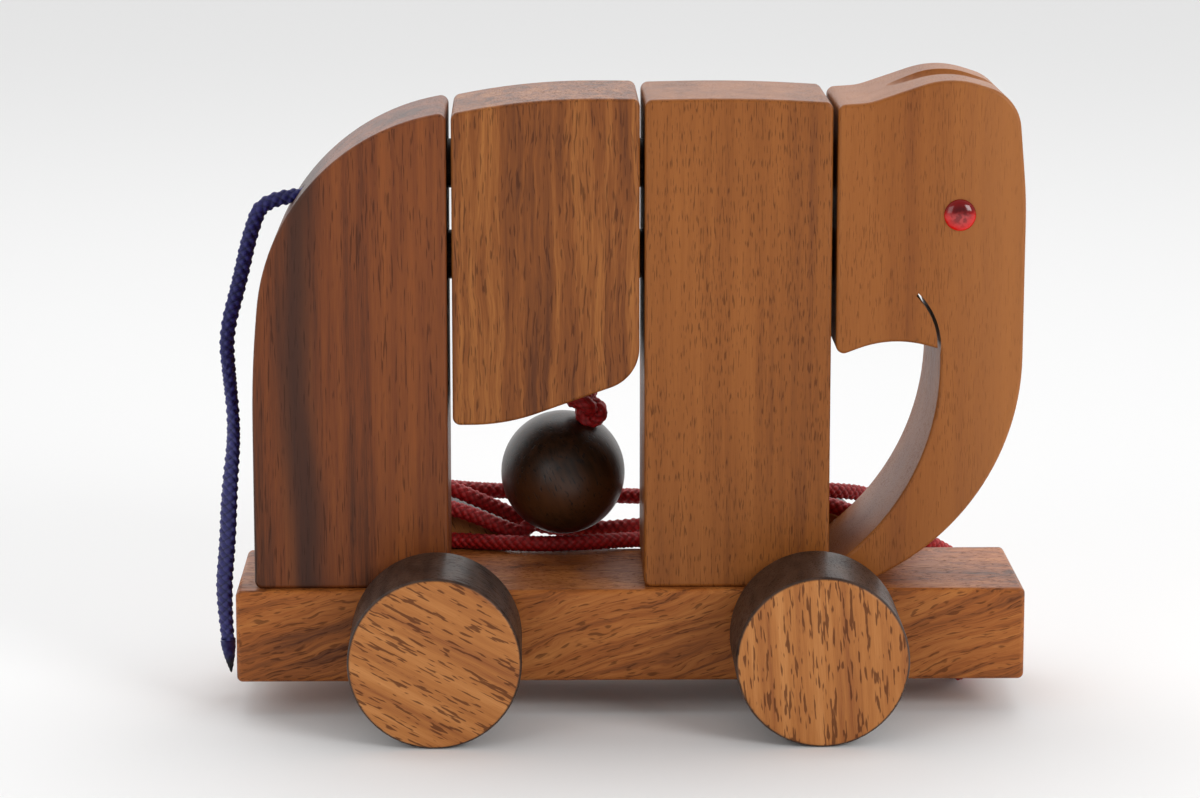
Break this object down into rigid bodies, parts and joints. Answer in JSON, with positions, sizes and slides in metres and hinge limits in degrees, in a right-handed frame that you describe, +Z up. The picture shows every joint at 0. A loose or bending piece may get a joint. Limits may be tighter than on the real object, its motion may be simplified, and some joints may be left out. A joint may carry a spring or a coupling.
{
  "type": "pull along toy",
  "caption": "Wooden pull-along toy: sawn blocks dowelled together as a striding elephant on a plank, with free-running wheels, a tail cord and a pull cord ending in a ball.",
  "frame": {"origin": "on the floor, under the middle of the plank and midway between the wheels' outer faces", "axes": "+X towards the head, +Z up, so +Y is the toy's left side"},
  "size_m": [0.166, 0.092, 0.1289],
  "materials": {
    "plank_wood": "satin varnish",
    "rump_wood": "satin varnish",
    "belly_wood": "satin varnish",
    "foreleg_wood": "satin varnish",
    "head_wood": "satin varnish",
    "wheel_wood": "satin varnish",
    "dowel_wood": "bare",
    "ball_wood": "gloss varnish",
    "eye_red": "clear gloss",
    "red_cord": "braided, satin",
    "blue_cord": "braided, satin",
    "sealed_tip": "melted"
  },
  "bodies": {
    "root": {"base_plank": "plank_wood", "rump_block": "rump_wood", "belly_block": "belly_wood", "foreleg_block": "foreleg_wood", "head_block": "head_wood", "rump_belly_upper_dowel": "dowel_wood", "rump_belly_lower_dowel": "dowel_wood", "belly_foreleg_upper_dowel": "dowel_wood", "belly_foreleg_lower_dowel": "dowel_wood", "foreleg_head_upper_dowel": "dowel_wood", "foreleg_head_lower_dowel": "dowel_wood", "rump_rear_foot_dowel": "dowel_wood", "rump_front_foot_dowel": "dowel_wood", "foreleg_rear_foot_dowel": "dowel_wood", "foreleg_front_foot_dowel": "dowel_wood", "eye_right": "eye_red", "eye_left": "eye_red", "pull_cord": "red_cord", "ball_knot": "red_cord", "tail_cord": "blue_cord", "tail_tip": "sealed_tip"},
    "rear_wheelset": {"rear_axle": "dowel_wood", "rear_right_wheel": "wheel_wood", "rear_left_wheel": "wheel_wood"},
    "front_wheelset": {"front_axle": "dowel_wood", "front_right_wheel": "wheel_wood", "front_left_wheel": "wheel_wood"},
    "ball": {"pull_ball": "ball_wood"}
  },
  "joints": [
    {"name": "rear_axle_turn", "type": "hinge", "parent": "root", "child": "rear_wheelset", "pos_m": [-0.0393, 0, 0.0172], "axis": [0, 1, 0], "continuous": true},
    {"name": "front_axle_turn", "type": "hinge", "parent": "root", "child": "front_wheelset", "pos_m": [0.0371, 0, 0.0172], "axis": [0, 1, 0], "continuous": true},
    {"name": "ball_turn", "type": "hinge", "parent": "root", "child": "ball", "pos_m": [-0.0134, 0.0178, 0.0426], "axis": [0.3998, -0.1999, 0.8945], "continuous": true}
  ]
}
